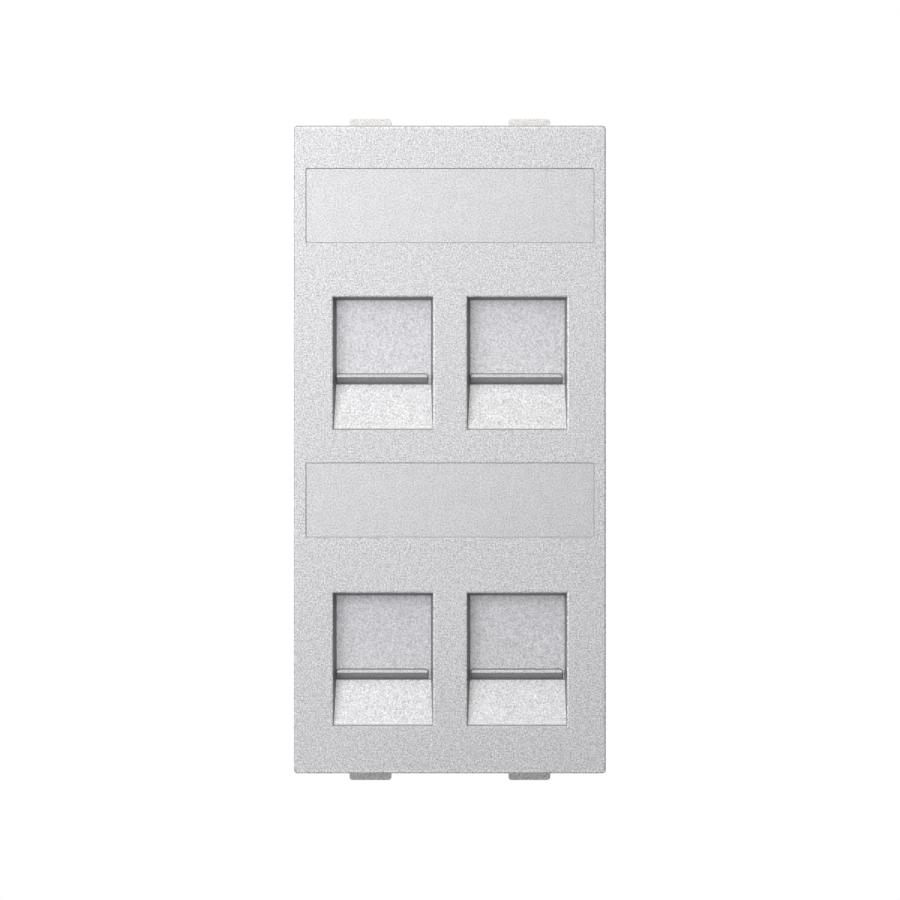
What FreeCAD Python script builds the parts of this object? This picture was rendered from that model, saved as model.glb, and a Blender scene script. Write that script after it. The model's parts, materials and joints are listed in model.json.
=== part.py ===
"""Two-module faceplate for four keystone jacks, with sprung dust shutters and clear label covers.

+X is right, +Z is up and +Y is back. Every shape is modelled with y as the depth behind the front face, and is
moved forward when it is saved, so that the origin ends at the centre of the plane of the rear rim.
"""

import FreeCAD
import Part

import math
import os

Vector = FreeCAD.Vector

# Plate body
plate_width = 52.0
plate_height = 108.0
plate_depth = 9.0
front_wall = 2.2
skirt_wall = 1.6
corner_radius = 0.6
front_edge_radius = 0.35
inner_corner_radius = 1.0

# Channels behind the plate, two columns by two rows
column_pitch = 22.35
channel_top_margin = 4.42
channel_bottom_margin = 6.08
guide_wall = 1.2
divider_wall = 1.2
runner_width = 1.3

# Window in front of each channel
window_above_channel = 1.8
window_width = 16.74
window_height = 22.21
window_draft = 0.485
window_foot_shift = 0.1
window_lip_radius = 0.3
window_foot_radius = 0.12
collar_depth = 3.0
collar_margin = 0.9

# Ramp at the foot of each window, and the sill behind it
ramp_height = 7.64
ramp_depth = 2.9
ramp_fillet = 1.0
sill_root = 0.9
sill_lip = 1.2
sill_lip_width = 0.8
sill_rebate = 0.6

# Sliding shutter
shutter_thickness = 1.4
shutter_lap = 0.9
shutter_above_window = 1.2
shutter_sill_gap = 0.16
shutter_side_play = 0.12
shutter_front_play = 0.1
shutter_back_play = 0.2
shutter_top_chamfer = 0.3

# Finger rib on the shutter
rib_side_gap = 0.31
rib_offset = -0.1
rib_height = 1.54
rib_reach = 1.4
rib_ledge = 1.05
rib_crest_drop = 0.46
rib_crest_radius = 0.12
rib_foot_reach = 0.12
rib_end_radius = 0.4
rib_groove_width = 0.15
rib_groove_depth = 0.25

# Return spring above each shutter
spring_diameter = 2.4
spring_wire = 0.3
spring_turns = 10
spring_steps = 12
spring_closed_gap = 0.05
spring_end_gap = 0.05
peg_radius = 0.7
peg_length = 2.0

# Jack carrier, clipped over each channel
carrier_plate = 1.2
carrier_play = 0.1
jack_width = 14.9
jack_height = 16.5
socket_wall = 1.3
socket_length = 10.3
socket_corner_radius = 0.8
fixed_clip_depth = 2.0
fixed_clip_start = 6.5
sprung_clip_depth = 4.0
sprung_clip_start = 4.0
catch_thickness = 1.5
catch_overhang = 2.0
spring_groove_play = 0.2
spring_slot_margin = 2.0
hook_length = 3.0
hook_inset = 1.0
hook_nose = 0.5
hook_gap = 0.08
hook_height = 1.2
hook_back_chamfer = 0.6

# Label windows
label_side_margin = 1.95
label_height = 12.45
label_corner_radius = 0.3
label_below_top = 13.325
label_pitch_cut = 0.27
label_cover = 1.2
label_paper_space = 0.2
label_gap = 0.055
label_shift = 0.03
label_edge_chamfer = 0.05
lug_width = 4.0
lug_thickness = 0.8
lug_inset = 1.2
lug_nose = 0.35
lug_nose_height = 0.9
lug_play = 0.15

# Snap arms in the top and bottom of the skirt
snap_spacing = 26.6
snap_width = 7.0
snap_height = 1.35
snap_corner_radius = 0.5
snap_front = 3.0
snap_crest = 0.7
snap_lead_in = 3.0
snap_slit = 0.7
snap_root = 2.7

# Sizes that follow from the ones above
inner_width = plate_width - 2 * skirt_wall
row_pitch = (plate_height - channel_top_margin - channel_bottom_margin + divider_wall) / 2
channel_length = row_pitch - divider_wall
label_width = plate_width - 2 * label_side_margin
label_pitch = row_pitch - label_pitch_cut
track_front = collar_depth + shutter_front_play
track_back = track_front + shutter_thickness
track_middle = (track_front + track_back) / 2
sill_lip_back = ramp_depth + sill_lip_width
carrier_front = track_back + shutter_back_play
carrier_back = carrier_front + carrier_plate
socket_back = carrier_front + socket_length
window_foot_width = window_width - 2 * window_draft
shutter_width = window_foot_width + 2 * shutter_lap
rib_width = window_foot_width - 2 * rib_side_gap
channel_half = shutter_width / 2 + shutter_side_play

# Values for building only: how far joined shapes overlap, and what counts as the same place
overlap = 0.5
same_place = 1e-6

ROWS = {"upper": 0, "lower": 1}
COLUMNS = {"left": -1, "right": 1}

# Where each shutter rests to one side, as a share of its side play
SIDE_REST = {"upper_left": -0.6, "upper_right": 0.3, "lower_left": -0.3, "lower_right": 0.75}


class Port:
    """Where one window and everything behind it lies."""

    def __init__(self, row, column):
        self.name = row + "_" + column
        self.x = COLUMNS[column] * column_pitch / 2
        self.channel_top = plate_height / 2 - channel_top_margin - ROWS[row] * row_pitch
        self.channel_bottom = self.channel_top - channel_length
        self.window_bottom = self.channel_bottom + window_above_channel
        self.window_top = self.window_bottom + window_height
        self.sill_top = self.window_bottom + ramp_height
        self.shutter_x = self.x + SIDE_REST[self.name] * shutter_side_play
        self.shutter_bottom = self.sill_top + shutter_sill_gap
        self.shutter_top = self.window_top + shutter_above_window
        self.jack_middle = (self.sill_top + self.window_top - window_draft) / 2
        self.jack_bottom = self.jack_middle - jack_height / 2
        self.jack_top = self.jack_middle + jack_height / 2


PORTS = [Port(row, column) for row in ROWS for column in COLUMNS]


def block(x_range, depth_range, z_range):
    """Box between two places along each axis."""
    low, high = zip(x_range, depth_range, z_range)
    return Part.makeBox(*[b - a for a, b in zip(low, high)], Vector(*low))


def centred(middle, size):
    """Range of the given size about a middle."""
    return (middle - size / 2, middle + size / 2)


def side_prism(outline, x_range):
    """Prism along X from (depth, z) corners."""
    corners = [Vector(x_range[0], depth, z) for depth, z in outline]
    face = Part.Face(Part.makePolygon(corners + corners[:1]))
    return face.extrude(Vector(x_range[1] - x_range[0], 0, 0))


def plan_prism(outline, z_range):
    """Prism along Z from (x, depth) corners."""
    corners = [Vector(x, depth, z_range[0]) for x, depth in outline]
    face = Part.Face(Part.makePolygon(corners + corners[:1]))
    return face.extrude(Vector(0, 0, z_range[1] - z_range[0]))


def edges_where(shape, test):
    """Edges of which every corner and the middle pass a test on the point."""
    found = []
    for edge in shape.Edges:
        middle = edge.valueAt((edge.FirstParameter + edge.LastParameter) / 2)
        if all(test(point) for point in [vertex.Point for vertex in edge.Vertexes] + [middle]):
            found.append(edge)
    return found


def edges_along_y(shape):
    """Straight edges that run from front to back."""
    found = []
    for edge in shape.Edges:
        ends = [vertex.Point for vertex in edge.Vertexes]
        if len(ends) == 2 and abs(ends[0].x - ends[1].x) + abs(ends[0].z - ends[1].z) < same_place:
            found.append(edge)
    return found


def rounded_block(x_range, depth_range, z_range, radius):
    """Box with rounded front-to-back edges."""
    box = block(x_range, depth_range, z_range)
    return box.makeFillet(radius, edges_along_y(box))


def at_depth(depth):
    """Test for a point that lies at one depth."""
    return lambda point: abs(point.y - depth) < same_place


def save(name, shape):
    """Write one node, moved so that the rear rim lies at y = 0."""
    placed = shape.removeSplitter()
    placed.translate(Vector(0, -plate_depth, 0))
    if not placed.isValid() or len(placed.Solids) != 1:
        raise RuntimeError(name + " is not one valid solid")
    placed.Solids[0].exportStep("parts/" + name + ".step")
    print(name, round(placed.Volume, 2))


def shell():
    """Front wall and skirt, open at the back."""
    body = rounded_block(centred(0, plate_width), (0, plate_depth), centred(0, plate_height), corner_radius)
    body = body.makeFillet(front_edge_radius, edges_where(body, at_depth(0)))
    hollow = rounded_block(
        centred(0, inner_width),
        (front_wall, plate_depth + overlap),
        centred(0, plate_height - 2 * skirt_wall),
        inner_corner_radius,
    )
    return body.cut(hollow)


def channel_walls():
    """Cross walls from side to side, and two guide walls for each column of windows."""
    depths = (front_wall - overlap, carrier_back)
    inside = centred(0, inner_width + overlap)
    upper, lower = PORTS[0], PORTS[-1]
    tops = [upper.channel_top, lower.channel_top, lower.channel_bottom - divider_wall]
    walls = [block(inside, depths, (top, top + divider_wall)) for top in tops]
    for column in COLUMNS.values():
        for side in (-1, 1):
            middle = column * column_pitch / 2 + side * (channel_half + guide_wall / 2)
            walls.append(block(centred(middle, guide_wall), depths, (tops[2], tops[0] + divider_wall)))
    return walls


def window_seat(port):
    """Collar on which the shutter slides, its runners, the stepped sill and the fixed spring peg."""
    across = centred(port.x, 2 * channel_half + overlap)
    collar_top = port.window_top + collar_margin
    collar = block(across, (front_wall - overlap, collar_depth), (port.window_bottom - sill_root, collar_top))
    sill_back = carrier_front - carrier_play
    sill = side_prism(
        [
            (front_wall - overlap, port.window_bottom - sill_root),
            (front_wall, port.window_bottom - sill_root),
            (sill_back, port.sill_top - sill_lip),
            (sill_back, port.sill_top - sill_rebate),
            (sill_lip_back, port.sill_top - sill_rebate),
            (sill_lip_back, port.sill_top),
            (front_wall - overlap, port.sill_top),
        ],
        across,
    )
    peg_start = Vector(port.x, track_middle, port.channel_top - peg_length)
    peg = Part.makeCylinder(peg_radius, peg_length + overlap, peg_start)
    runners = [
        block(
            centred(port.x + side * (channel_half - runner_width / 2 + overlap / 2), runner_width + overlap),
            (front_wall - overlap, collar_depth),
            (collar_top - overlap, port.channel_top + overlap),
        )
        for side in (-1, 1)
    ]
    return [collar, sill, peg] + runners


def window_cutter(port):
    """Tapered hole of a window, closed at its foot by the ramp."""
    front = -overlap
    back = collar_depth + overlap
    draft = window_draft / collar_depth
    reach = math.hypot(ramp_depth, ramp_height - ramp_fillet)
    end_angle = math.atan2(ramp_height - ramp_fillet, ramp_depth) - math.acos(ramp_fillet / reach)
    middle_angle = (end_angle - math.pi / 2) / 2

    def on_fillet(angle):
        depth = ramp_fillet * math.cos(angle)
        return Vector(0, depth, port.window_bottom + ramp_fillet + ramp_fillet * math.sin(angle))

    lip = Vector(0, 0, port.window_bottom)
    fillet = Part.Arc(lip, on_fillet(middle_angle), on_fillet(end_angle)).toShape()
    rest = [
        on_fillet(end_angle),
        Vector(0, ramp_depth, port.sill_top),
        Vector(0, back, port.sill_top),
        Vector(0, back, port.window_top - draft * back),
        Vector(0, front, port.window_top - draft * front),
        Vector(0, front, port.window_bottom),
        lip,
    ]
    profile = Part.Face(Part.Wire([fillet] + Part.makePolygon(rest).Edges))
    profile.translate(Vector(port.x - window_width, 0, 0))
    tall = profile.extrude(Vector(2 * window_width, 0, 0))
    lean = window_foot_shift / collar_depth
    taper = [
        (port.x + side * (window_width / 2 - draft * depth) + lean * depth, depth)
        for side, depth in ((-1, front), (1, front), (1, back), (-1, back))
    ]
    wide = plan_prism(taper, (port.window_bottom - overlap, port.window_top + overlap))
    return tall.common(wide)


def carrier_hooks(port):
    """Hooks on the guide walls that hold the jack carrier."""
    hooks = []
    catch = carrier_back + hook_gap
    back = catch + hook_height
    for side in (-1, 1):
        outline = [
            (channel_half, carrier_back - overlap),
            (channel_half, catch),
            (channel_half - hook_nose, catch),
            (channel_half, back),
            (channel_half + guide_wall - hook_back_chamfer, back),
            (channel_half + guide_wall, back - hook_back_chamfer),
            (channel_half + guide_wall, carrier_back - overlap),
        ]
        placed = [(port.x + side * x, depth) for x, depth in outline]
        low = port.channel_bottom + hook_inset
        high = port.channel_top - hook_inset
        hooks.append(plan_prism(placed, (low, low + hook_length)))
        hooks.append(plan_prism(placed, (high - hook_length, high)))
    return hooks


def snap_arm(x, side):
    """Wedge on one snap arm, and the two slits that free the arm."""
    wall = plate_height / 2
    wedge = side_prism(
        [
            (snap_front - overlap, side * (wall - overlap)),
            (snap_front, side * wall),
            (snap_front + snap_height, side * (wall + snap_height)),
            (snap_front + snap_height + snap_crest, side * (wall + snap_height)),
            (snap_front + snap_height + snap_crest + snap_lead_in, side * wall),
            (snap_front + snap_height + snap_crest + snap_lead_in, side * (wall - overlap)),
        ],
        centred(x, snap_width),
    )
    envelope = rounded_block(
        centred(x, snap_width),
        (0, plate_depth),
        centred(side * wall, 2 * snap_height),
        snap_corner_radius,
    )
    slits = [
        block(
            centred(x + end * (snap_width + snap_slit) / 2, snap_slit),
            (snap_root, plate_depth + overlap),
            centred(side * (wall - skirt_wall / 2), skirt_wall + 2 * overlap),
        )
        for end in (-1, 1)
    ]
    return wedge.common(envelope), slits


def label_middle(row):
    """Height of the middle of a label window."""
    return plate_height / 2 - label_below_top - ROWS[row] * label_pitch


def lug_faces(side):
    """Inner and outer place across of one snap lug of a label cover."""
    outer = side * (label_width / 2 - lug_inset)
    return outer - side * lug_thickness, outer


def label_pocket(row):
    """Recess of a label cover, with a slot through its floor for each lug."""
    z = label_middle(row)
    recess = rounded_block(
        centred(0, label_width),
        (-overlap, label_cover + label_paper_space),
        centred(z, label_height),
        label_corner_radius,
    )
    slots = []
    for side in (-1, 1):
        inner, outer = lug_faces(side)
        across = sorted((inner - side * (lug_nose + lug_play), outer + side * lug_play))
        slots.append(block(across, (0, front_wall + overlap), centred(z, lug_width + 2 * lug_play)))
    return [recess] + slots


def window_lips(plate, feet):
    """Front edges round the windows: those at their feet, or else those at their sides and tops."""
    reach = window_width / 2 + window_lip_radius + same_place

    def at_window(point):
        return at_depth(0)(point) and any(
            abs(point.x - port.x) < reach
            and port.window_bottom - same_place < point.z < port.window_top + same_place
            for port in PORTS
        )

    def at_foot(point):
        return at_window(point) and any(abs(point.z - port.window_bottom) < same_place for port in PORTS)

    foot_edges = edges_where(plate, at_foot)
    if feet:
        return foot_edges
    return [
        edge
        for edge in edges_where(plate, at_window)
        if not any(edge.isSame(foot) for foot in foot_edges)
    ]


def make_faceplate():
    """Moulded plate with its channels, seats, hooks and snap arms."""
    added = channel_walls()
    for port in PORTS:
        added += window_seat(port) + carrier_hooks(port)
    removed = []
    for x in (-snap_spacing / 2, snap_spacing / 2):
        for side in (-1, 1):
            wedge, slits = snap_arm(x, side)
            added.append(wedge)
            removed += slits
    for row in ROWS:
        removed += label_pocket(row)
    plate = shell().multiFuse(added).removeSplitter()
    plate = plate.cut(removed + [window_cutter(port) for port in PORTS])

    plate = plate.makeFillet(window_lip_radius, window_lips(plate, False))
    return plate.makeFillet(window_foot_radius, window_lips(plate, True))


def make_label_cover(row):
    """Clear cover, set down and to the right in its recess, with two snap lugs."""
    z = label_middle(row) - label_shift
    cover = rounded_block(
        centred(label_shift, label_width - 2 * label_gap),
        (0, label_cover),
        centred(z, label_height - 2 * label_gap),
        label_corner_radius - label_gap,
    )
    cover = cover.makeChamfer(label_edge_chamfer, edges_where(cover, at_depth(0)))
    back = front_wall + hook_gap
    lugs = []
    for side in (-1, 1):
        inner, outer = lug_faces(side)
        outline = [
            (inner, label_cover - overlap),
            (inner, back + lug_nose_height),
            (outer, back + lug_nose_height),
            (outer + side * lug_nose, back),
            (outer, back),
            (outer, label_cover - overlap),
        ]
        lugs.append(plan_prism(outline, centred(label_middle(row), lug_width)))
    return cover.multiFuse(lugs)


def rib_outline(port, margin):
    """Rounded outline of the finger rib as seen from the front, grown by a margin."""
    top = port.shutter_bottom + rib_height + margin
    x_range = centred(port.shutter_x + rib_offset, rib_width + 2 * margin)
    low = port.shutter_bottom - 2 * rib_height
    return rounded_block(x_range, (0, track_back), (low, top), rib_end_radius + margin)


def make_shutter(port):
    """Dust shutter: finger rib at the foot, tongue behind the lip of the sill, spring peg on top."""
    across = centred(port.shutter_x, shutter_width)
    plate = block(across, (track_front, track_back), (port.shutter_bottom, port.shutter_top))
    top_front = edges_where(
        plate, lambda point: at_depth(track_front)(point) and abs(point.z - port.shutter_top) < same_place
    )
    plate = plate.makeChamfer(shutter_top_chamfer, top_front)
    top = port.shutter_bottom + rib_height
    crest = top - rib_crest_drop
    rib = side_prism(
        [
            (track_front + overlap, port.shutter_bottom),
            (track_front + overlap, top),
            (track_front - rib_ledge, top),
            (track_front - rib_reach, crest),
            (track_front - rib_foot_reach, port.shutter_bottom + rib_foot_reach),
            (track_front - rib_foot_reach, port.shutter_bottom),
        ],
        across,
    )
    rib = rib.makeFillet(rib_crest_radius, edges_where(rib, at_depth(track_front - rib_reach)))
    groove = rib_outline(port, rib_groove_width).common(
        block(
            across,
            (track_front - overlap, track_front + rib_groove_depth),
            (port.shutter_bottom - overlap, port.shutter_top),
        )
    )
    peg_start = Vector(port.shutter_x, track_middle, port.shutter_top - overlap)
    peg = Part.makeCylinder(peg_radius, peg_length + overlap, peg_start)
    tongue = block(
        across,
        (sill_lip_back + shutter_front_play, track_back),
        (port.shutter_bottom - sill_rebate, port.shutter_bottom + overlap),
    )
    return plate.cut(groove).multiFuse([rib.common(rib_outline(port, 0)), tongue, peg])


def spring_rise(turn, length):
    """Height of the wire after so many turns: one closed turn at each end, an even pitch between."""
    closed = spring_wire + spring_closed_gap
    pitch = (length - 2 * closed) / (spring_turns - 2)
    if turn < 1:
        return closed * turn
    if turn > spring_turns - 1:
        return length - closed * (spring_turns - turn)
    return closed + pitch * (turn - 1)


def make_spring(port):
    """Compression spring between the shutter and the cross wall above it, wound in short straight steps."""
    low = port.shutter_top + spring_end_gap + spring_wire / 2
    length = port.channel_top - port.shutter_top - 2 * spring_end_gap - spring_wire
    radius = (spring_diameter - spring_wire) / 2
    half = spring_wire / 2
    sections = []
    for step in range(spring_turns * spring_steps + 1):
        angle = 2 * math.pi * step / spring_steps
        height = low + spring_rise(step / spring_steps, length)
        corners = [
            Vector(
                port.x + (radius + out * half) * math.cos(angle),
                track_middle + (radius + out * half) * math.sin(angle),
                height + up * half,
            )
            for out, up in ((1, 0), (0, 1), (-1, 0), (0, -1))
        ]
        sections.append(Part.makePolygon(corners + corners[:1]))
    return Part.makeLoft(sections, True, True)


def make_carrier(port):
    """Channel cover with the socket that takes one keystone jack from behind."""
    plate = block(
        centred(port.x, 2 * (channel_half - carrier_play)),
        (carrier_front, carrier_back),
        (port.channel_bottom + carrier_play, port.channel_top - carrier_play),
    )
    socket = rounded_block(
        centred(port.x, jack_width + 2 * socket_wall),
        (carrier_back - overlap, socket_back),
        (
            port.jack_bottom - fixed_clip_depth - socket_wall,
            port.jack_top + sprung_clip_depth + socket_wall,
        ),
        socket_corner_radius,
    )
    across = centred(port.x, jack_width)
    catch_front = socket_back - catch_thickness
    jack = block(across, (carrier_front - overlap, socket_back + overlap), (port.jack_bottom, port.jack_top))
    fixed_clip = block(
        across,
        (carrier_front + fixed_clip_start, catch_front),
        (port.jack_bottom - fixed_clip_depth, port.jack_bottom + overlap),
    )
    sprung_clip = block(
        across,
        (carrier_front + sprung_clip_start, catch_front),
        (port.jack_top - overlap, port.jack_top + sprung_clip_depth),
    )
    latch_gap = sprung_clip_depth - catch_overhang
    latch_way = side_prism(
        [
            (catch_front - overlap, port.jack_top - overlap),
            (catch_front - overlap, port.jack_top + latch_gap),
            (catch_front, port.jack_top + latch_gap),
            (socket_back + overlap, port.jack_top + latch_gap + catch_thickness + overlap),
            (socket_back + overlap, port.jack_top - overlap),
        ],
        across,
    )
    groove_half = spring_diameter / 2 + spring_groove_play
    groove = block(
        centred(port.x, 2 * groove_half),
        (carrier_front - overlap, track_middle + groove_half),
        (port.jack_top - overlap, port.channel_top + overlap),
    )
    slot = block(
        centred(port.x, 2 * groove_half),
        (carrier_front - overlap, carrier_back + overlap),
        (
            port.jack_top + sprung_clip_depth + socket_wall + spring_slot_margin,
            port.channel_top - spring_slot_margin,
        ),
    )
    return plate.fuse(socket).cut([jack, fixed_clip, sprung_clip, latch_way, groove, slot])


def main():
    """Make every node."""
    os.makedirs("parts", exist_ok=True)
    save("faceplate", make_faceplate())
    for row in ROWS:
        save("label_cover_" + row, make_label_cover(row))
    for port in PORTS:
        save("shutter_" + port.name, make_shutter(port))
        save("shutter_spring_" + port.name, make_spring(port))
        save("jack_carrier_" + port.name, make_carrier(port))


main()
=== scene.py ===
"""Finishes, round-wire springs, studio light and camera for the keystone faceplate.

+X is right, +Z is up and the faceplate looks towards -Y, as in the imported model. Lengths are in metres.
"""

import json
import math

import bmesh
import bpy
from mathutils import Matrix, Vector


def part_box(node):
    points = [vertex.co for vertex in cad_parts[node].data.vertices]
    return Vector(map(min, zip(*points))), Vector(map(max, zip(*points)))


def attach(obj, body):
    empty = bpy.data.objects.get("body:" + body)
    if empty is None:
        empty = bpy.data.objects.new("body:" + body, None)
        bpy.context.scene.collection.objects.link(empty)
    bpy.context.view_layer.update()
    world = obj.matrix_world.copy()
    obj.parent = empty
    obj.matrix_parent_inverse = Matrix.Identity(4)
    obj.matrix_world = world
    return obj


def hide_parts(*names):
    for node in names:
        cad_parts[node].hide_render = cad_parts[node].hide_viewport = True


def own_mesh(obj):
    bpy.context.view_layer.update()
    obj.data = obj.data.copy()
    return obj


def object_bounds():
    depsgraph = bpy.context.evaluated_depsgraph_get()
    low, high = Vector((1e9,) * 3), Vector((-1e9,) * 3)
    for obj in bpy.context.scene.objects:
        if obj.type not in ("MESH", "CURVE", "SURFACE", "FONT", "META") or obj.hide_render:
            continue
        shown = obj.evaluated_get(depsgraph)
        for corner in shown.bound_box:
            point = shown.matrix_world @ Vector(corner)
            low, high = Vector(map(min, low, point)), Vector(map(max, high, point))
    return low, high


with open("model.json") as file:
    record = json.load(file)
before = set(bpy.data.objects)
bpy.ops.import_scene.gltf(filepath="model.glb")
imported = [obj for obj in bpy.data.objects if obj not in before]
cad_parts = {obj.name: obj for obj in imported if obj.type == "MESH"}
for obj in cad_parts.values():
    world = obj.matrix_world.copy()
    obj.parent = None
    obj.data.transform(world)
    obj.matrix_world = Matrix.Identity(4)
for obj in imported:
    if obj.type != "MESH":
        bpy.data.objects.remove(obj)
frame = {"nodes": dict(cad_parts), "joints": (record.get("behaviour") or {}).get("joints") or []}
cad_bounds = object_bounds()

MM = 0.001

# Camera, square in front of the plate
CAMERA_DISTANCE = 0.89
CAMERA_SHIFT_X = 0.008 * MM
CAMERA_SHIFT_Z = -0.083 * MM
FRAMED_WIDTH = 150.0 * MM
SENSOR_WIDTH = 36.0

# Light: name, place, size, power and colour of each lamp
AMBIENT_COLOUR = (0.97, 0.97, 1.0)
AMBIENT_LEVEL = 0.015
LAMPS = (
    ("key_light", (-0.112, -0.292, 0.104), 0.28, 0.63, (0.95, 0.95, 1.0)),
    ("left_light", (-0.22, -0.245, 0.025), 0.15, 0.145, (0.9, 0.89, 1.0)),
    ("top_light", (-0.018, -0.14, 0.295), 0.15, 0.3, (1.0, 0.945, 0.835)),
    ("low_light", (0.156, -0.26, -0.13), 0.15, 0.0165, (0.95, 0.95, 1.0)),
    ("back_light", (-0.12, 0.34, 0.16), 0.25, 0.7, (1.0, 1.0, 1.0)),
)

# Floor
FLOOR_DROP = 0.14
FLOOR_RADIUS = 0.52
FLOOR_CLEAR_RADIUS = 0.16

# Faceplate paint: parts of the normal over which the silver, a sloping, a flat or a rounded surface
# starts; below the first, window walls facing sideways are dark grey as painted shade
PAINT_UNSHADED_FACING = (0.2, 0.32)
RAMP_FACING = (0.2, 0.33)
TOP_FACING = (0.7, 0.9)
LIP_FACING = (0.1, 0.4)

# Faceplate paint: where the front rim, the lips and the silver inside end, counted from the rear rim,
# and where the skirt's outer sides start, counted from the middle
# Deeper in, the dark grey is unpainted moulding on the back and painted shade on the sills and in the
# gaps below the shutters
FRONT_RIM_DEPTH = (-8.65 * MM, -8.6 * MM)
LIP_DEPTH = (-8.72 * MM, -8.68 * MM)
PAINT_UNSHADED_DEPTH = (-6.08 * MM, -6.04 * MM)
SKIRT_EDGE_X = (25.45 * MM, 25.6 * MM)
SKIRT_EDGE_Z = (53.45 * MM, 53.6 * MM)

# Faceplate paint: painted light on the ends and ramps, a painted highlight on the lips, painted shade on
# the top and its front rim, and how much glossier or more even the paint is on the lips and ramps
END_PAINTED_LIGHT = 0.2
RAMP_PAINTED_LIGHT = 0.1
LIP_PAINTED_HIGHLIGHT = 0.2
FRONT_RIM_PAINTED_SHADE = -0.5
TOP_PAINTED_SHADE = -0.4
LIP_GLOSS = 0.27
RAMP_SMOOTHING = 0.35

# Shutter paint: where the silver ends and where the ribs' roots start and end, counted from the rear rim;
# behind the face the dark grey is unpainted moulding, and painted shade in the gap below the ribs, and at
# the roots painted shade in the crease
SHUTTER_PAINT_UNSHADED_DEPTH = (-5.88 * MM, -5.82 * MM)
RIB_ROOT_FRONT = (-6.3 * MM, -6.1 * MM)
RIB_ROOT_BACK = (-5.98 * MM, -5.94 * MM)

# Shutter paint: parts of the normal over which the underside or the top of a rib starts
UNDERSIDE_FACING = (0.3, 0.75)
CREST_FACING = (0.3, 0.6)

# Shutter paint: how far painted shade turns the silver to the dark grey on those places
RIB_ROOT_PAINTED_SHADE = 0.9
UNDERSIDE_PAINTED_SHADE = 0.55
CREST_PAINTED_SHADE = 0.2

# Colours of the finishes
SILVER_PAINT = (0.633, 0.633, 0.636)
SILVER_SATIN = (0.63, 0.63, 0.64)
# Dark grey of the unpainted moulding, also painted shade on the window walls, sills, gaps and the
# shutters' rib roots and undersides
BARE_AND_SHADE_GREY = (0.235, 0.235, 0.242)
CLEAR_PLASTIC = (0.68, 0.68, 0.685)
CARRIER_PLASTIC = (0.085, 0.087, 0.092)
SPRING_STEEL = (0.56, 0.56, 0.58)
PAINT_METALLIC = 0.3

# Springs
SPRING_WIRE = 0.3 * MM
SPRING_TURNS = 10
SPRING_STEPS = 28
WIRE_SIDES = 12
CLOSED_TURNS = 1.0
CLOSED_PITCH = 1.08
EASING_TURNS = 0.35

ROWS = ("upper", "lower")
COLUMNS = ("left", "right")
PORTS = [row + "_" + column for row in ROWS for column in COLUMNS]


class Value:
    """A shader socket on which Python's operators add Math nodes."""

    def __init__(self, nodes, socket):
        self.nodes = nodes
        self.socket = socket

    def math(self, operation, *values):
        return self.nodes.add("ShaderNodeMath", {"operation": operation}, dict(enumerate(values)))

    def __add__(self, other):
        return self.math("ADD", self, other)

    def __radd__(self, other):
        return self.math("ADD", other, self)

    def __sub__(self, other):
        return self.math("SUBTRACT", self, other)

    def __rsub__(self, other):
        return self.math("SUBTRACT", other, self)

    def __mul__(self, other):
        return self.math("MULTIPLY", self, other)

    def __rmul__(self, other):
        return self.math("MULTIPLY", other, self)

    def __neg__(self):
        return self.math("MULTIPLY", self, -1.0)

    def __abs__(self):
        return self.math("ABSOLUTE", self)

    def above(self, level):
        return self.math("MAXIMUM", self, level)

    def below(self, level):
        return self.math("MINIMUM", self, level)


class Nodes:
    """The node tree of one material or world."""

    def __init__(self, owner):
        owner.use_nodes = True
        self.owner = owner
        self.tree = owner.node_tree
        self.tree.nodes.clear()

    def add(self, kind, settings=None, inputs=None, output=0):
        """Add a node, set it up, feed its sockets and return one of its outputs."""
        node = self.tree.nodes.new(kind)
        for name, setting in (settings or {}).items():
            setattr(node, name, setting)
        for key, value in (inputs or {}).items():
            socket = node.inputs[key]
            if isinstance(value, Value):
                self.tree.links.new(value.socket, socket)
            elif isinstance(value, tuple) and socket.type == "RGBA":
                socket.default_value = value + (1.0,)
            else:
                socket.default_value = value
        return Value(self, node.outputs[output]) if node.outputs else node

    def place(self):
        return self.add("ShaderNodeTexCoord", output="Object")

    def facing(self):
        """The X, Y and Z of the surface's normal."""
        return self.parts(self.add("ShaderNodeTexCoord", output="Normal"))

    def parts(self, vector):
        """The X, Y and Z of a vector, each as a value."""
        split = self.add("ShaderNodeSeparateXYZ", {}, {"Vector": vector})
        return [Value(self, socket) for socket in split.socket.node.outputs]

    def step(self, value, low, high):
        """Smooth rise from 0 at the low end of a range to 1 at its high end."""
        settings = {"interpolation_type": "SMOOTHSTEP"}
        inputs = {"Value": value, "From Min": low, "From Max": high}
        return self.add("ShaderNodeMapRange", settings, inputs)

    def mix(self, share, first, second):
        """Colour between two others."""
        inputs = {"Factor": share, 6: first, 7: second}
        return self.add("ShaderNodeMix", {"data_type": "RGBA"}, inputs, 2)

    def noise(self, place, size, detail):
        """Noise about 0, from -0.5 to 0.5, with lumps of the given size."""
        inputs = {"Vector": place, "Scale": 1 / size, "Detail": detail}
        return self.add("ShaderNodeTexNoise", {}, inputs) - 0.5

    def shade(self, colour, brightness):
        """A colour made lighter or darker by a value."""
        inputs = {"Vector": colour, "Scale": brightness}
        return self.add("ShaderNodeVectorMath", {"operation": "SCALE"}, inputs)

    def bump(self, height, depth):
        """Normal of a surface that rises with a value, by the given depth."""
        return self.add("ShaderNodeBump", {}, {"Height": height, "Distance": depth, "Strength": 1.0})

    def surface(self, **sockets):
        """Principled surface, with sockets named by words joined with underscores."""
        named = {key.replace("_", " "): value for key, value in sockets.items()}
        shader = self.add("ShaderNodeBsdfPrincipled", {}, named)
        self.add("ShaderNodeOutputMaterial", {}, {"Surface": shader})
        return self.owner


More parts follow.
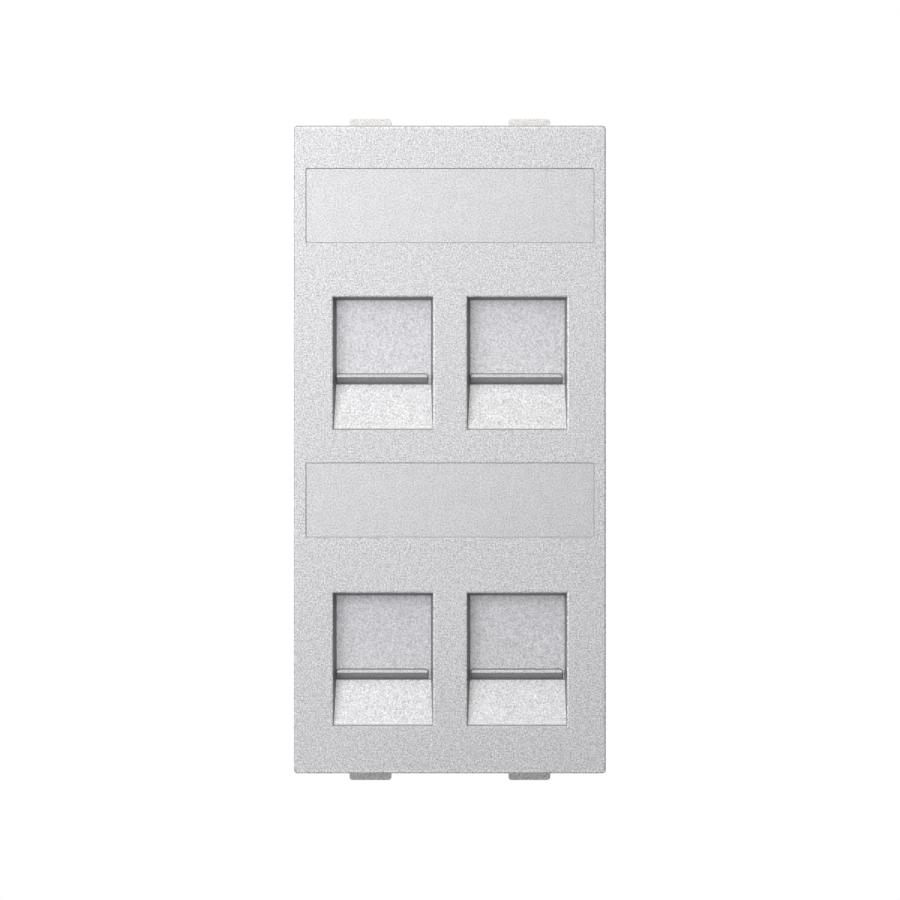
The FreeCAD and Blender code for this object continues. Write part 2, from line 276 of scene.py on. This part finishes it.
def silver_paint():
    """Silver paint with fine flake on the face and outer sides, grey moulding without paint behind.

    The dark grey also stands in for shade on the window walls and deep in the windows.
    Light is put into the colour of the ends with their snap arms and of the ramps, which are lighter,
    and of the window lips as a highlight; shade is put into the colour of the faces that look up,
    such as the top, and of its front rim, which are darker. The side lips are also glossier.
    """
    nodes = Nodes(bpy.data.materials.new("silver_paint"))
    place = nodes.place()
    facing = nodes.facing()
    across, depth, up = nodes.parts(place)
    ends = nodes.step(abs(up), *SKIRT_EDGE_Z)
    edge = nodes.step(abs(across), *SKIRT_EDGE_X) + ends
    outward = (-facing[1]).above(facing[2])
    inside = nodes.step(depth, *PAINT_UNSHADED_DEPTH)
    # Silver where the surface faces out; elsewhere the dark grey is unpainted moulding behind, and
    # painted shade on the window walls and deep in the windows
    paint_unshaded = (nodes.step(outward, *PAINT_UNSHADED_FACING) * (1 - inside) + edge).below(1.0)
    flake = nodes.noise(place, 0.25 * MM, 1.0)
    mottle = nodes.noise(place, 0.9 * MM, 3.0)
    drift = nodes.noise(place, 14 * MM, 2.0)
    grain = flake * 1.9 + mottle * 0.5 + drift * 0.05
    upward = nodes.step(facing[2], *RAMP_FACING)
    front_rim = ends * upward * (1 - nodes.step(depth, *FRONT_RIM_DEPTH))
    flat_top = nodes.step(facing[2], *TOP_FACING) * (1 - front_rim)
    within = 1 - edge.below(1.0)
    lip = nodes.step(abs(facing[0]), *LIP_FACING) * (1 - nodes.step(depth, *LIP_DEPTH)) * within
    # Painted light on the ends with their snap arms and on the ramps, a painted highlight on the lips,
    # painted shade on the up-facing top and its front rim
    painted_light_and_shade = 1 + ends * END_PAINTED_LIGHT + upward * (1 - ends) * RAMP_PAINTED_LIGHT + lip * LIP_PAINTED_HIGHLIGHT
    painted_light_and_shade = painted_light_and_shade + front_rim * FRONT_RIM_PAINTED_SHADE + flat_top * TOP_PAINTED_SHADE
    silver = nodes.shade(SILVER_PAINT, (1 + grain * (1 - upward * RAMP_SMOOTHING)) * painted_light_and_shade)
    bare_and_shade = nodes.shade(BARE_AND_SHADE_GREY, 1 + grain * 0.5)
    return nodes.surface(
        Base_Color=nodes.mix(paint_unshaded, bare_and_shade, silver),
        Metallic=paint_unshaded * PAINT_METALLIC,
        Roughness=0.5 + flake * 0.3 - lip * LIP_GLOSS,
        Normal=nodes.bump(flake + mottle * 0.5, 0.03 * MM),
    )


def silver_satin():
    """Smoother silver paint on the faces of the shutters, grey moulding without paint behind.

    Shade is put into the colour: the tops of the ribs are a little darker, their undersides darker
    and their roots darkest, and the grey behind stands for the shade in the gap below the ribs.
    """
    nodes = Nodes(bpy.data.materials.new("silver_satin"))
    place = nodes.place()
    facing = nodes.facing()
    depth = nodes.parts(place)[1]
    # Painted shade: rib roots, undersides and tops go towards the dark grey, as does what shows in the
    # gap below the rib
    rib_root = nodes.step(depth, *RIB_ROOT_FRONT) * (1 - nodes.step(depth, *RIB_ROOT_BACK))
    covered_unshaded = (1 - nodes.step(depth, *SHUTTER_PAINT_UNSHADED_DEPTH)) * (1 - rib_root * RIB_ROOT_PAINTED_SHADE)
    underside = nodes.step(-facing[2], *UNDERSIDE_FACING)
    crest = nodes.step(facing[2], *CREST_FACING)
    paint_unshaded = covered_unshaded * (1 - underside * UNDERSIDE_PAINTED_SHADE - crest * CREST_PAINTED_SHADE)
    flake = nodes.noise(place, 0.24 * MM, 1.0)
    mottle = nodes.noise(place, 1.2 * MM, 3.0)
    grain = flake * 1.3 + mottle * 0.2
    silver = nodes.shade(SILVER_SATIN, 1 + grain)
    bare_and_shade = nodes.shade(BARE_AND_SHADE_GREY, 1 + grain * 0.5)
    return nodes.surface(
        Base_Color=nodes.mix(paint_unshaded, bare_and_shade, silver),
        Metallic=paint_unshaded * PAINT_METALLIC,
        Roughness=0.46 + flake * 0.2,
        Normal=nodes.bump(flake + mottle * 0.5, 0.02 * MM),
    )


def clear_plastic():
    """Clear matt plastic of the label covers, with the faint grain of its back."""
    nodes = Nodes(bpy.data.materials.new("clear_plastic"))
    place = nodes.place()
    grain = nodes.noise(place, 0.25 * MM, 1.0)
    cloud = nodes.noise(place, 1.2 * MM, 3.0)
    return nodes.surface(
        Base_Color=nodes.shade(CLEAR_PLASTIC, 1 + grain * 1.3 + cloud * 0.15),
        Metallic=PAINT_METALLIC,
        Alpha=0.85 + cloud * 0.06,
        Roughness=0.4 + cloud * 0.08,
        Normal=nodes.bump(grain + cloud * 0.5, 0.015 * MM),
    )


def carrier_plastic():
    """Dark grey moulded plastic with a spark-eroded texture."""
    nodes = Nodes(bpy.data.materials.new("carrier_plastic"))
    place = nodes.place()
    grain = nodes.noise(place, 0.28 * MM, 3.0)
    flow = nodes.noise(place, 9 * MM, 2.0)
    return nodes.surface(
        Base_Color=nodes.shade(CARRIER_PLASTIC, 1 + grain * 0.3 + flow * 0.25),
        Roughness=0.52 + grain * 0.3,
        Normal=nodes.bump(grain, 0.02 * MM),
    )


def spring_steel():
    """Drawn steel wire with faint die marks."""
    nodes = Nodes(bpy.data.materials.new("spring_steel"))
    place = nodes.place()
    marks = nodes.noise(place, 0.07 * MM, 2.0)
    stain = nodes.noise(place, 1.5 * MM, 2.0)
    return nodes.surface(
        Base_Color=nodes.shade(SPRING_STEEL, 1 + stain * 0.35),
        Metallic=1.0,
        Roughness=0.27 + marks * 0.25,
        Normal=nodes.bump(marks, 0.002 * MM),
    )


def studio_floor():
    """Pale floor that fades to the white of the background."""
    nodes = Nodes(bpy.data.materials.new("studio_floor"))
    reach = nodes.add("ShaderNodeVectorMath", {"operation": "LENGTH"}, {"Vector": nodes.place()}, "Value")
    fading = 1 / (FLOOR_RADIUS - FLOOR_CLEAR_RADIUS)
    away = ((reach - FLOOR_CLEAR_RADIUS) * fading).above(0.0).below(1.0)
    seen = nodes.add("ShaderNodeLightPath", output="Is Camera Ray")
    matt = nodes.add("ShaderNodeBsdfDiffuse", {}, {"Color": (0.9, 0.9, 0.9)})
    white = nodes.add("ShaderNodeEmission", {}, {"Color": (1.0, 1.0, 1.0), "Strength": 1.0})
    mixed = nodes.add("ShaderNodeMixShader", {}, {0: away * seen, 1: matt, 2: white})
    nodes.add("ShaderNodeOutputMaterial", {}, {"Surface": mixed})
    return nodes.owner


def new_object(name, form, material):
    """Turn a bmesh into an object with one material."""
    mesh = bpy.data.meshes.new(name)
    form.to_mesh(mesh)
    form.free()
    mesh.materials.append(material)
    made = bpy.data.objects.new(name, mesh)
    bpy.context.scene.collection.objects.link(made)
    return made


def spring_pitches(height):
    """Rise of each step of the wire: closed turns at both ends that ease into an even pitch."""
    shares = []
    for step in range(SPRING_TURNS * SPRING_STEPS):
        turn = (step + 0.5) / SPRING_STEPS
        from_end = min(turn, SPRING_TURNS - turn) - CLOSED_TURNS
        opened = min(max(from_end / EASING_TURNS, 0.0), 1.0)
        shares.append(opened * opened * (3 - 2 * opened))
    closed_rise = CLOSED_PITCH * SPRING_WIRE / SPRING_STEPS
    open_rise = (height - SPRING_WIRE - closed_rise * len(shares)) / sum(shares)
    return [closed_rise + open_rise * share for share in shares]


def shutter_travel(port):
    """Full travel of one shutter."""
    for joint in frame["joints"]:
        if joint["name"] == port + "_shutter_slide":
            return joint["range_m"][1]


def make_spring(port, material):
    """Round-wire compression spring in the place of its plain solid."""
    node = "shutter_spring_" + port
    low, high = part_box(node)
    middle = (low + high) / 2
    radius = (high.x - low.x - SPRING_WIRE) / 2
    form = bmesh.new()
    start = Vector((middle.x + radius, middle.y, low.z + SPRING_WIRE / 2))
    lean = Matrix.Rotation(math.pi / 2, 4, "X")
    section = bmesh.ops.create_circle(
        form,
        cap_ends=True,
        segments=WIRE_SIDES,
        radius=SPRING_WIRE / 2,
        matrix=Matrix.Translation(start) @ lean,
    )
    tip = section["verts"] + form.edges[:] + form.faces[:]
    for rise in spring_pitches(high.z - low.z):
        turned = bmesh.ops.spin(
            form,
            geom=tip,
            cent=middle,
            axis=(0, 0, 1),
            dvec=(0, 0, rise),
            angle=2 * math.pi / SPRING_STEPS,
            steps=1,
        )
        tip = turned["geom_last"]
    bmesh.ops.recalc_face_normals(form, faces=form.faces[:])
    for face in form.faces:
        face.smooth = len(face.verts) == 4
    spring = new_object("round_wire_spring_" + port, form, material)
    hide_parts(node)
    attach(spring, "plate")
    squashed = shutter_travel(port)
    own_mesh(spring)


def dress_nodes():
    """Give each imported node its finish."""
    silver = silver_paint()
    satin = silver_satin()
    clear = clear_plastic()
    dark = carrier_plastic()
    finishes = {"faceplate": silver}
    for row in ROWS:
        finishes["label_cover_" + row] = clear
    for port in PORTS:
        finishes["shutter_" + port] = satin
        finishes["jack_carrier_" + port] = dark
    for name, material in finishes.items():
        mesh = frame["nodes"][name].data
        mesh.materials.clear()
        mesh.materials.append(material)


def make_floor():
    """Round pale floor below the plate."""
    low, high = cad_bounds
    form = bmesh.new()
    bmesh.ops.create_circle(form, cap_ends=True, segments=96, radius=FLOOR_RADIUS)
    floor = new_object("studio_floor", form, studio_floor())
    floor.location = ((low[0] + high[0]) / 2, (low[1] + high[1]) / 2, low[2] - FLOOR_DROP)


def aim(thing, target):
    """Turn a lamp or camera so that it looks at a point."""
    thing.rotation_euler = (Vector(target) - thing.location).to_track_quat("-Z", "Y").to_euler()


def add_lamp(name, place, size, power, colour):
    """Square area lamp that looks at the plate."""
    lamp = bpy.data.lights.new(name, "AREA")
    lamp.shape = "SQUARE"
    lamp.size = size
    lamp.energy = power
    lamp.color = colour
    thing = bpy.data.objects.new(name, lamp)
    thing.location = place
    aim(thing, (0, 0, 0))
    bpy.context.scene.collection.objects.link(thing)


def light_studio():
    """White surroundings, a trace of ambient light and the lamps."""
    world = bpy.data.worlds.new("studio")
    bpy.context.scene.world = world
    nodes = Nodes(world)
    direct = nodes.add("ShaderNodeLightPath", output="Is Camera Ray")
    mirrored = nodes.add("ShaderNodeLightPath", output="Is Glossy Ray")
    passed = nodes.add("ShaderNodeLightPath", output="Is Transmission Ray")
    ambient = nodes.add("ShaderNodeBackground", {}, {"Color": AMBIENT_COLOUR, "Strength": AMBIENT_LEVEL})
    white = nodes.add("ShaderNodeBackground", {}, {"Color": (1.0, 1.0, 1.0), "Strength": 1.0})
    seen = (direct + mirrored + passed).below(1.0)
    mixed = nodes.add("ShaderNodeMixShader", {}, {0: seen, 1: ambient, 2: white})
    nodes.add("ShaderNodeOutputWorld", {}, {"Surface": mixed})
    for lamp in LAMPS:
        add_lamp(*lamp)


def set_camera():
    """Long lens, square to the plate."""
    front = cad_bounds[0][1]
    camera = bpy.data.cameras.new("camera")
    camera.sensor_width = SENSOR_WIDTH
    camera.lens = SENSOR_WIDTH * CAMERA_DISTANCE / FRAMED_WIDTH
    thing = bpy.data.objects.new("camera", camera)
    thing.location = (CAMERA_SHIFT_X, front - CAMERA_DISTANCE, CAMERA_SHIFT_Z)
    thing.rotation_euler = (math.pi / 2, 0, 0)
    bpy.context.scene.collection.objects.link(thing)
    bpy.context.scene.camera = thing


def main():
    dress_nodes()
    steel = spring_steel()
    for port in PORTS:
        make_spring(port, steel)
    make_floor()
    light_studio()
    set_camera()
    bpy.context.scene.view_settings.view_transform = "Standard"


main()
